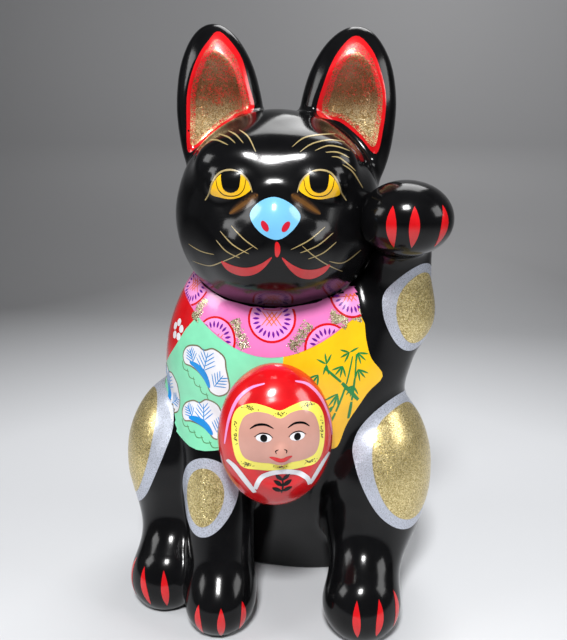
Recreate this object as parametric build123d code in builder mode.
"""Beckoning cat figurine in papier mache, seated, with one front paw raised.

Millimetres. +Z is up, the cat faces -Y, and the origin is the centre of the face it rests on.
The cat's own right side is at -X. Every form is a loft of ellipses, an ellipsoid or a round
limb. A piece is that form, hollowed to the thickness of the paper, less the pieces that it is
glued against.
"""
from build123d import *
from math import sqrt
import os

os.makedirs("parts", exist_ok=True)

# ---------------------------------------------------------------- driving dimensions
WALL = 2.5                    # moulded paper of the body, head, limbs and daruma
STRIP = 0.8                   # paper strips glued over the seams, on the inside
STRIP_WIDTH = 14.0
BOARD = 3.0                   # cardboard base
CLAY_HEIGHT = 14.0            # clay weight on the base board
CLAY_Y = 30.0
CLAY_HALF_WIDTH = 36.0
CLAY_HALF_DEPTH = 18.0
CLAY_ROUND = 5.0
SHELL_SEAM_Y = 8.0            # where the front half of the body meets the back half
NECK_STRIP_LOW = 158.0        # lowest edge of the strip between the head and the body

# Body: an ellipse at each height, as (height, half width, front, back).
BODY_X = 2.0
BODY_SECTIONS = (
    (0, 57, -1, 55),
    (30, 60, -12, 61),
    (65, 62, -30, 63),
    (100, 62, -42, 58),
    (125, 62, -45, 50),
    (145, 59, -43, 44),
    (163, 52, -38, 38),
    (180, 42, -30, 33),
)
RIGHT_HAUNCH = ((-57, 2, 70), (27, 40, 44))
LEFT_HAUNCH = ((58, 2, 68), (28, 40, 48))

# Limbs: (start, end, radius at the start, radius at the end).
FRONT_LEG = ((-28, -20, 98), (-19, -44, 22), 19, 17)
FRONT_TOES = ((-18, -53, 13), (18, 19, 17))
RIGHT_HIND_FOOT = ((-51.5, -14, 38), (-51.5, -36, 18), 20, 17.5)
RIGHT_HIND_TOES = ((-51.5, -39, 13), (18.5, 19, 17))
LEFT_HIND_FOOT = ((54, -14, 38), (54, -41, 18), 20, 17.5)
LEFT_HIND_TOES = ((54, -44, 13), (18.5, 19, 17))
UPPER_ARM = ((46, 0, 118), (64, -2, 158), 20, 17)
FOREARM = ((64, -2, 158), (65, -8, 188), 17, 15)
PAW = ((67, -26, 207.5), 21.5, 17.5)             # centre, radius across and half height
ARM_SEAM_Y = -4.0
TAIL = ((4, 56, 24), (0, 65, 46), 12, 9)

# Head, about its own centre, and turned a little towards the raised paw.
HEAD_CENTRE = (4, -8, 206)
HEAD_TURN = 6.0
SKULL = ((0, 0, 0), (51, 48, 51))
MUZZLE = ((0, -34, -10), (27, 17, 20))
BROW = ((20, -29, 22), (17, 11, 10))
BROW_SLANT = 15.0
EAR_SCOOP_INSET = 6.0         # width of the rim around the hollow of an ear
RIGHT_EAR = ((-30, 11, 46), (22, 14, 46), -5)
LEFT_EAR = ((33, 11, 44), (24, 14, 46), 6)

DARUMA = ((9, -46, 104), (28, 22, 36))

FAR = 800.0                   # more than twice the figure, for the blocks that trim it
FIGURE_MIDDLE = (2.25, 1.0)   # x and y under the middle of the whole figure, where the frame's origin goes


# ---------------------------------------------------------------- basic forms
def ellipsoid(centre, radii, rotation=(0, 0, 0), inset=0.0):
    """An ellipsoid, made smaller all round by inset. Its poles are at the front and back."""
    with BuildPart() as form:
        Sphere(1, rotation=(90, 0, 0))
        scale(by=tuple(radius - inset for radius in radii))
    return form.part.moved(Location(centre, rotation))


def flat_ball(centre, radius, half_height, inset=0.0):
    """A ball that is flattened along Z, turned from half of its own section."""
    radius -= inset
    half_height -= inset
    with BuildPart() as form:
        with BuildSketch(Plane(origin=centre, x_dir=(1, 0, 0), z_dir=(0, -1, 0))):
            Ellipse(radius, half_height)
            with Locations((-radius, 0)):
                Rectangle(2 * radius, 3 * half_height, mode=Mode.SUBTRACT)
        revolve(axis=Axis(centre, (0, 0, 1)))
    return form.part


def round_limb(start, end, start_radius, end_radius, inset=0.0):
    """A limb with round ends: the line between two balls, turned about its own axis."""
    first = start_radius - inset
    last = end_radius - inset
    run = Vector(*end) - Vector(*start)
    length = run.length
    sine = (first - last) / length
    cosine = sqrt(1 - sine * sine)
    across = Plane(origin=start, z_dir=run).x_dir
    profile = Plane(origin=start, x_dir=across, z_dir=across.cross(run))
    with BuildPart() as form:
        with BuildSketch(profile):
            with BuildLine():
                ThreePointArc((0, -first), (first * sqrt(0.5), -first * sqrt(0.5)),
                              (first * cosine, first * sine))
                Line((first * cosine, first * sine), (last * cosine, length + last * sine))
                ThreePointArc((last * cosine, length + last * sine),
                              (last * sqrt(0.5), length + last * sqrt(0.5)), (0, length + last))
                Line((0, length + last), (0, -first))
            make_face()
        revolve(axis=Axis(start, run))
    return form.part


def body_form(inset=0.0):
    """The trunk of the cat, made smaller all round by inset."""
    with BuildPart() as form:
        for height, half_width, front, back in BODY_SECTIONS:
            with BuildSketch(Plane.XY.offset(height)):
                with Locations((BODY_X, (front + back) / 2)):
                    Ellipse(half_width - inset, (back - front) / 2 - inset)
        loft()
    return form.part


def slab(low, high, axis="z"):
    """A block across the whole figure, between two values along the Y or the Z axis."""
    middle = (low + high) / 2
    size = {"y": (FAR, high - low, FAR), "z": (FAR, FAR, high - low)}
    centre = {"y": (0, middle, 0), "z": (0, 0, middle)}
    with BuildPart() as block:
        with Locations(centre[axis]):
            Box(*size[axis])
    return block.part


def joined(*forms):
    """Several forms fused into one."""
    with BuildPart() as whole:
        for form in forms:
            add(form)
    return whole.part


def trimmed(form, *cutters, keep=None):
    """A form less the cutters, and then only what lies inside keep."""
    with BuildPart() as rest:
        add(form)
        for cutter in cutters:
            add(cutter, mode=Mode.SUBTRACT)
        if keep is not None:
            add(keep, mode=Mode.INTERSECT)
    return rest.part


def placed_head(form):
    """A form made about the centre of the head, put where the head is."""
    return form.moved(Location(HEAD_CENTRE, (0, 0, HEAD_TURN)))


def body_outline(inset=0.0):
    """Trunk and both haunches, made smaller all round by inset."""
    return joined(body_form(inset), ellipsoid(*RIGHT_HAUNCH, inset=inset),
                  ellipsoid(*LEFT_HAUNCH, inset=inset))


def limb_outline(limb, end_form, inset=0.0):
    """A limb with its toes, made smaller all round by inset."""
    return joined(round_limb(*limb, inset=inset), ellipsoid(*end_form, inset=inset))


def arm_outline(inset=0.0):
    """Upper arm, forearm and paw."""
    return joined(round_limb(*UPPER_ARM, inset=inset), round_limb(*FOREARM, inset=inset),
                  flat_ball(*PAW, inset=inset))


def head_outline(inset=0.0):
    """Skull, muzzle and brows, about the centre of the head."""
    (brow_x, brow_y, brow_z), brow_radii = BROW
    brows = [
        ellipsoid((side * brow_x, brow_y, brow_z), brow_radii, (0, side * -BROW_SLANT, 0), inset)
        for side in (-1, 1)
    ]
    return joined(ellipsoid(*SKULL, inset=inset), ellipsoid(*MUZZLE, inset=inset), *brows)


def ear_form(centre, radii, lean):
    """An ear: half of a flat ellipsoid, with a hollow in its front."""
    width, depth, height = radii
    x, y, z = centre
    inset = EAR_SCOOP_INSET
    scoop = ellipsoid((x, y - depth - 1, z - inset + 2), (width - inset, depth - 2, height - inset - 4),
                      (-3, lean, 0))
    return trimmed(ellipsoid(centre, radii, (-3, lean, 0)), scoop)


# ---------------------------------------------------------------- whole outlines
above_table = slab(0, FAR)
above_sole = slab(WALL, FAR)
body_seam = Plane.XZ.offset(-SHELL_SEAM_Y)      # its normal points to the front
arm_seam = Plane.XZ.offset(-ARM_SEAM_Y)
body_outer = body_outline()
body_hollow = body_outline(WALL)
head_solid = head_outline()
skull_outer = placed_head(ellipsoid(*SKULL))    # only the plain skull meets the body and the paw
arm_outer = arm_outline()
front_leg_outer = limb_outline(FRONT_LEG, FRONT_TOES)
daruma_outer = ellipsoid(*DARUMA)

# ---------------------------------------------------------------- body
with BuildPart() as body_front_shell:
    add(body_outer)
    add(body_hollow, mode=Mode.SUBTRACT)
    add(skull_outer, mode=Mode.SUBTRACT)
    split(bisect_by=body_seam, keep=Keep.TOP)
    add(above_table, mode=Mode.INTERSECT)

with BuildPart() as body_back_shell:
    add(body_outer)
    add(body_hollow, mode=Mode.SUBTRACT)
    add(skull_outer, mode=Mode.SUBTRACT)
    split(bisect_by=body_seam, keep=Keep.BOTTOM)
    add(above_table, mode=Mode.INTERSECT)

# ---------------------------------------------------------------- legs and tail, glued on the body
with BuildPart() as front_leg_shell:
    add(front_leg_outer)
    add(trimmed(limb_outline(FRONT_LEG, FRONT_TOES, WALL), keep=above_sole), mode=Mode.SUBTRACT)
    add(body_outer, mode=Mode.SUBTRACT)
    add(daruma_outer, mode=Mode.SUBTRACT)
    add(above_table, mode=Mode.INTERSECT)

with BuildPart() as right_hind_foot_shell:
    add(limb_outline(RIGHT_HIND_FOOT, RIGHT_HIND_TOES))
    add(trimmed(limb_outline(RIGHT_HIND_FOOT, RIGHT_HIND_TOES, WALL), keep=above_sole), mode=Mode.SUBTRACT)
    add(body_outer, mode=Mode.SUBTRACT)
    add(front_leg_outer, mode=Mode.SUBTRACT)
    add(above_table, mode=Mode.INTERSECT)

with BuildPart() as left_hind_foot_shell:
    add(limb_outline(LEFT_HIND_FOOT, LEFT_HIND_TOES))
    add(trimmed(limb_outline(LEFT_HIND_FOOT, LEFT_HIND_TOES, WALL), keep=above_sole), mode=Mode.SUBTRACT)
    add(body_outer, mode=Mode.SUBTRACT)
    add(above_table, mode=Mode.INTERSECT)

with BuildPart() as tail:
    add(round_limb(*TAIL))
    add(body_outer, mode=Mode.SUBTRACT)

# ---------------------------------------------------------------- head: face, back and ears
with BuildPart() as head_face_shell:
    add(head_solid)
    add(head_outline(WALL), mode=Mode.SUBTRACT)
    split(bisect_by=Plane.XZ, keep=Keep.TOP)

with BuildPart() as head_back_shell:
    add(head_solid)
    add(head_outline(WALL), mode=Mode.SUBTRACT)
    split(bisect_by=Plane.XZ, keep=Keep.BOTTOM)

with BuildPart() as right_ear:
    add(ear_form(*RIGHT_EAR))
    add(head_solid, mode=Mode.SUBTRACT)

with BuildPart() as left_ear:
    add(ear_form(*LEFT_EAR))
    add(head_solid, mode=Mode.SUBTRACT)

# ---------------------------------------------------------------- raised arm, in two halves
with BuildPart() as arm_front_shell:
    add(arm_outer)
    add(arm_outline(WALL), mode=Mode.SUBTRACT)
    add(body_outer, mode=Mode.SUBTRACT)
    add(skull_outer, mode=Mode.SUBTRACT)
    split(bisect_by=arm_seam, keep=Keep.TOP)

with BuildPart() as arm_back_shell:
    add(arm_outer)
    add(arm_outline(WALL), mode=Mode.SUBTRACT)
    add(body_outer, mode=Mode.SUBTRACT)
    add(skull_outer, mode=Mode.SUBTRACT)
    split(bisect_by=arm_seam, keep=Keep.BOTTOM)

# ---------------------------------------------------------------- daruma on the belly
with BuildPart() as daruma_shell:
    add(daruma_outer)
    add(ellipsoid(*DARUMA, inset=WALL), mode=Mode.SUBTRACT)
    add(body_outer, mode=Mode.SUBTRACT)

# ---------------------------------------------------------------- base, weight and paper strips
with BuildPart() as base_board:
    add(body_form(WALL))
    add(slab(0, BOARD), mode=Mode.INTERSECT)

with BuildPart() as clay_weight:
    with BuildSketch(Plane.XY.offset(BOARD)):
        with Locations((BODY_X, CLAY_Y)):
            Ellipse(CLAY_HALF_WIDTH, CLAY_HALF_DEPTH)
    extrude(amount=CLAY_HEIGHT)
    fillet(clay_weight.edges().group_by(Axis.Z)[-1], radius=CLAY_ROUND)

with BuildPart() as base_edge_strip:
    add(body_form(WALL))
    add(body_form(WALL + STRIP), mode=Mode.SUBTRACT)
    add(slab(BOARD, BOARD + STRIP_WIDTH), mode=Mode.INTERSECT)

with BuildPart() as body_seam_strips:
    add(body_hollow)
    add(slab(SHELL_SEAM_Y - STRIP_WIDTH / 2, SHELL_SEAM_Y + STRIP_WIDTH / 2, "y"), mode=Mode.INTERSECT)
    add(slab(BOARD + STRIP_WIDTH, NECK_STRIP_LOW), mode=Mode.INTERSECT)
    add(body_outline(WALL + STRIP), mode=Mode.SUBTRACT)

with BuildPart() as head_seam_strip:
    add(head_outline(WALL))
    add(slab(-STRIP_WIDTH / 2, STRIP_WIDTH / 2, "y"), mode=Mode.INTERSECT)
    with BuildSketch(Plane.XZ) as strip_inside:
        Ellipse(SKULL[1][0] - WALL - 2 * STRIP, SKULL[1][2] - WALL - 2 * STRIP)
    extrude(amount=STRIP_WIDTH, both=True, mode=Mode.SUBTRACT)

with BuildPart() as neck_strip:
    add(placed_head(ellipsoid(*SKULL, inset=-STRIP)))
    add(skull_outer, mode=Mode.SUBTRACT)
    add(body_form(WALL), mode=Mode.INTERSECT)
    add(slab(NECK_STRIP_LOW, FAR), mode=Mode.INTERSECT)

# ---------------------------------------------------------------- labels and files
to_frame = Location((-FIGURE_MIDDLE[0], -FIGURE_MIDDLE[1], 0))
pieces = {
    "body_front_shell": body_front_shell.part,
    "body_back_shell": body_back_shell.part,
    "front_leg_shell": front_leg_shell.part,
    "right_hind_foot_shell": right_hind_foot_shell.part,
    "left_hind_foot_shell": left_hind_foot_shell.part,
    "tail": tail.part,
    "head_face_shell": placed_head(head_face_shell.part),
    "head_back_shell": placed_head(head_back_shell.part),
    "right_ear": placed_head(right_ear.part),
    "left_ear": placed_head(left_ear.part),
    "arm_front_shell": arm_front_shell.part,
    "arm_back_shell": arm_back_shell.part,
    "daruma_shell": daruma_shell.part,
    "base_board": base_board.part,
    "clay_weight": clay_weight.part,
    "base_edge_strip": base_edge_strip.part,
    "body_seam_strips": body_seam_strips.part,
    "head_seam_strip": placed_head(head_seam_strip.part),
    "neck_strip": neck_strip.part,
}
for name, piece in pieces.items():
    piece = piece.moved(to_frame)
    piece.label = name
    export_step(piece, f"parts/{name}.step")
